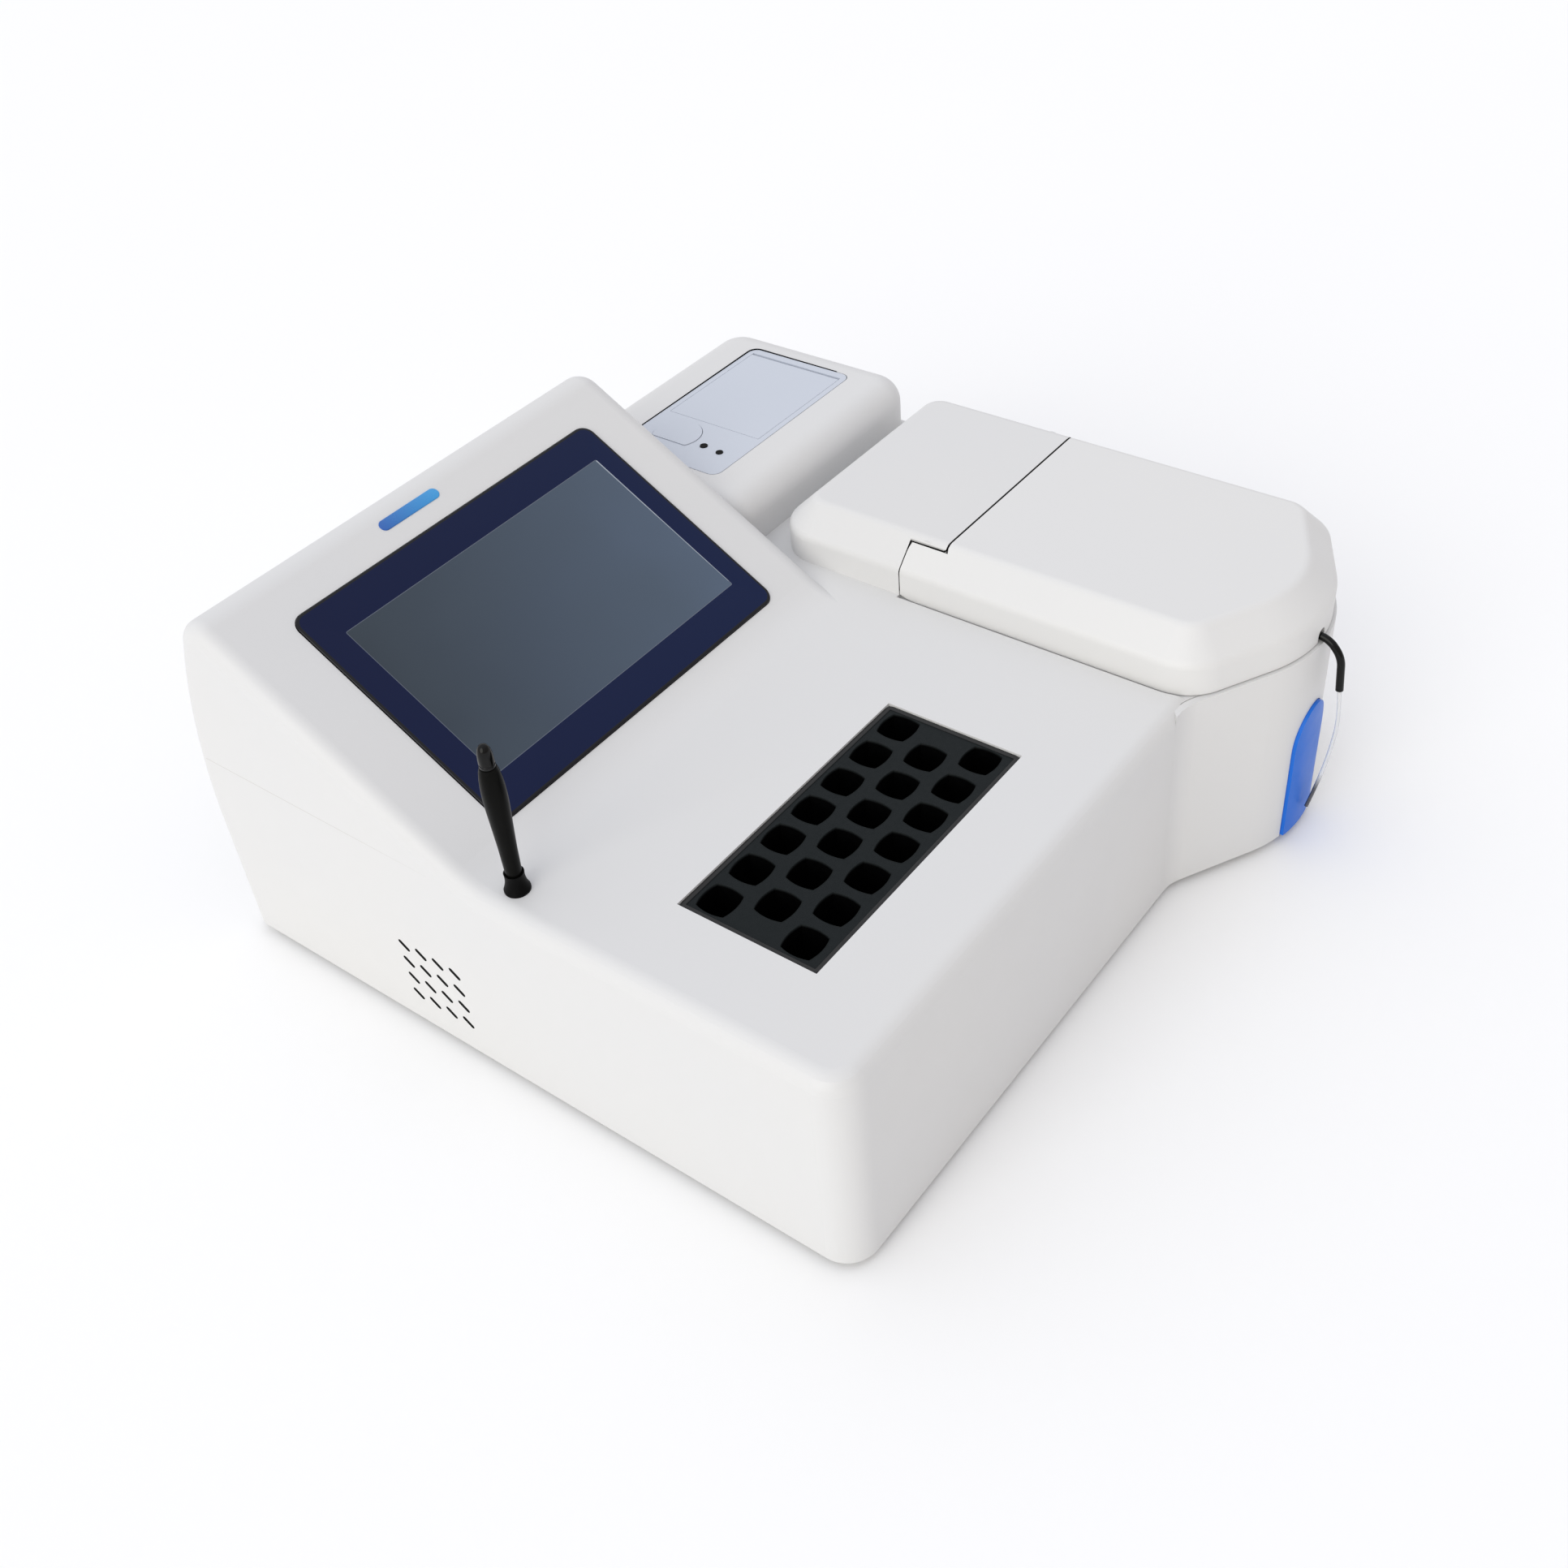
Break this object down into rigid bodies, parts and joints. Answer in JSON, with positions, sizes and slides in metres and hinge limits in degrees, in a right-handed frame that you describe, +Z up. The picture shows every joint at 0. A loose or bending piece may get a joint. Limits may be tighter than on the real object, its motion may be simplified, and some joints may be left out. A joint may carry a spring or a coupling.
{
  "type": "semi-automatic biochemistry analyser",
  "caption": "Bench clinical chemistry analyser: sloping touch console, staggered cuvette warming block, hinged sample cover over pump and flow cell, aspirate key and built-in printer.",
  "frame": {"origin": "middle of the instrument's bounding box at bench level, without the free aspiration tube", "axes": "+X to the user's right, +Y away from the user, +Z up"},
  "size_m": [0.386, 0.3928, 0.1841],
  "materials": {
    "case_white": "fine satin moulded plastic",
    "cover_white": "fine satin moulded plastic",
    "navy_glass": "back-printed gloss panel",
    "display": "gloss display",
    "black_block": "black anodised",
    "black_plastic": "satin",
    "gloss_black": "gloss",
    "key_blue": "satin",
    "printer_grey": "satin",
    "rubber": "matte",
    "steel": "brushed",
    "sheet_steel": "painted",
    "aluminium": "machined",
    "circuit_board": "solder resist",
    "foam": "foam",
    "heater": "silicone",
    "quartz": "polished",
    "brass": "turned",
    "paper": "thermal paper",
    "clear_tube": "translucent tube",
    "led": "moulded lens"
  },
  "bodies": {
    "casing": {"base_casing": "case_white", "top_cover": "case_white", "cover_hinge_pins": "steel", "bottom_plate": "sheet_steel", "rubber_feet": "rubber", "case_screws": "steel", "touch_glass": "navy_glass", "display_panel": "display", "warming_block": "black_block", "heater_pad": "heater", "insulation_jacket": "foam", "stylus_socket": "black_plastic", "speaker": "black_plastic", "key_bracket": "sheet_steel", "key_switch": "black_plastic", "sample_tray": "black_plastic", "flow_cell_holder": "black_block", "flow_cell": "quartz", "photodetector": "black_plastic", "pump_head": "printer_grey", "pump_motor": "sheet_steel", "optical_bench": "aluminium", "filter_motor": "sheet_steel", "condenser_lens": "quartz", "lamp_housing": "aluminium", "halogen_lamp": "quartz", "main_board": "circuit_board", "power_supply": "sheet_steel", "rear_panel": "sheet_steel", "mains_inlet": "black_plastic", "switch_frame": "black_plastic", "fan_frame": "black_plastic", "fan_guard": "steel", "waste_fitting": "brass", "printer_frame": "printer_grey", "status_led": "led", "printer_chassis": "black_plastic", "print_head": "aluminium", "printer_motor": "sheet_steel", "tube_sleeve": "gloss_black", "aspiration_tube": "clear_tube", "inner_tubes": "clear_tube"},
    "cover": {"sample_cover": "cover_white"},
    "stylus": {"stylus": "gloss_black"},
    "aspirate_key": {"aspirate_key": "key_blue"},
    "printer_door": {"printer_door": "printer_grey"},
    "door_latch": {"door_latch": "printer_grey"},
    "feed_button": {"feed_button": "black_plastic"},
    "power_rocker": {"power_rocker": "gloss_black"},
    "pump_rotor": {"pump_rotor": "black_plastic"},
    "pump_roller_1": {"pump_roller_1": "aluminium"},
    "pump_roller_2": {"pump_roller_2": "aluminium"},
    "pump_roller_3": {"pump_roller_3": "aluminium"},
    "filter_wheel": {"filter_wheel": "black_block", "optical_filters": "quartz"},
    "fan_rotor": {"fan_rotor": "black_plastic"},
    "platen": {"platen_roller": "rubber", "platen_gear": "black_plastic"},
    "motor_pinion": {"motor_pinion": "brass"},
    "paper_roll": {"paper_roll": "paper"}
  },
  "joints": [
    {"name": "cover_hinge", "type": "hinge", "parent": "casing", "child": "cover", "pos_m": [0.123, -0.01798, 0.129], "axis": [-1, 0, 0], "range_deg": [0, 105]},
    {"name": "stylus_lift", "type": "slide", "parent": "casing", "child": "stylus", "axis": [0, 0, 1], "range_m": [0, 0.024]},
    {"name": "aspirate_key_press", "type": "slide", "parent": "casing", "child": "aspirate_key", "axis": [0, 1, 0], "range_m": [0, 0.0025], "stiffness_N_per_m": 600},
    {"name": "printer_door_hinge", "type": "hinge", "parent": "casing", "child": "printer_door", "pos_m": [0.1672, 0.13032, 0.1344], "axis": [0, 1, 0], "range_deg": [0, 100]},
    {"name": "door_latch_press", "type": "slide", "parent": "casing", "child": "door_latch", "axis": [0, 0, -1], "range_m": [0, 0.0018], "stiffness_N_per_m": 500},
    {"name": "feed_button_press", "type": "slide", "parent": "casing", "child": "feed_button", "axis": [0, 0, -1], "range_m": [0, 0.0006], "stiffness_N_per_m": 400},
    {"name": "power_rocker_tilt", "type": "hinge", "parent": "casing", "child": "power_rocker", "pos_m": [-0.093, 0.18602, 0.042], "axis": [1, 0, 0], "range_deg": [0, 16]},
    {"name": "pump_spin", "type": "hinge", "parent": "casing", "child": "pump_rotor", "pos_m": [0.104, -0.09698, 0.084], "axis": [0, 0, 1], "continuous": true},
    {"name": "roller_1_spin", "type": "hinge", "parent": "pump_rotor", "child": "pump_roller_1", "pos_m": [0.104, -0.08298, 0.086], "axis": [0, 0, 1], "continuous": true},
    {"name": "roller_2_spin", "type": "hinge", "parent": "pump_rotor", "child": "pump_roller_2", "pos_m": [0.09188, -0.10398, 0.086], "axis": [0, 0, 1], "continuous": true},
    {"name": "roller_3_spin", "type": "hinge", "parent": "pump_rotor", "child": "pump_roller_3", "pos_m": [0.11612, -0.10398, 0.086], "axis": [0, 0, 1], "continuous": true},
    {"name": "filter_spin", "type": "hinge", "parent": "casing", "child": "filter_wheel", "pos_m": [0.132, -0.01998, 0.09], "axis": [0, 1, 0], "continuous": true},
    {"name": "fan_spin", "type": "hinge", "parent": "casing", "child": "fan_rotor", "pos_m": [-0.003, 0.18302, 0.042], "axis": [0, 1, 0], "continuous": true},
    {"name": "platen_spin", "type": "hinge", "parent": "casing", "child": "platen", "pos_m": [0.106, 0.13002, 0.1244], "axis": [0, 1, 0], "continuous": true},
    {"name": "pinion_spin", "type": "hinge", "parent": "casing", "child": "motor_pinion", "pos_m": [0.11342, 0.16252, 0.11697], "axis": [0, 1, 0], "continuous": true},
    {"name": "paper_spin", "type": "hinge", "parent": "casing", "child": "paper_roll", "pos_m": [0.14, 0.13002, 0.111], "axis": [0, 1, 0], "continuous": true}
  ],
  "couplings": [
    {"joint": "roller_1_spin", "follows": "pump_spin", "ratio": -3.8},
    {"joint": "roller_2_spin", "follows": "pump_spin", "ratio": -3.8},
    {"joint": "roller_3_spin", "follows": "pump_spin", "ratio": -3.8},
    {"joint": "pinion_spin", "follows": "platen_spin", "ratio": -2},
    {"joint": "paper_spin", "follows": "platen_spin", "ratio": 0.2632}
  ]
}
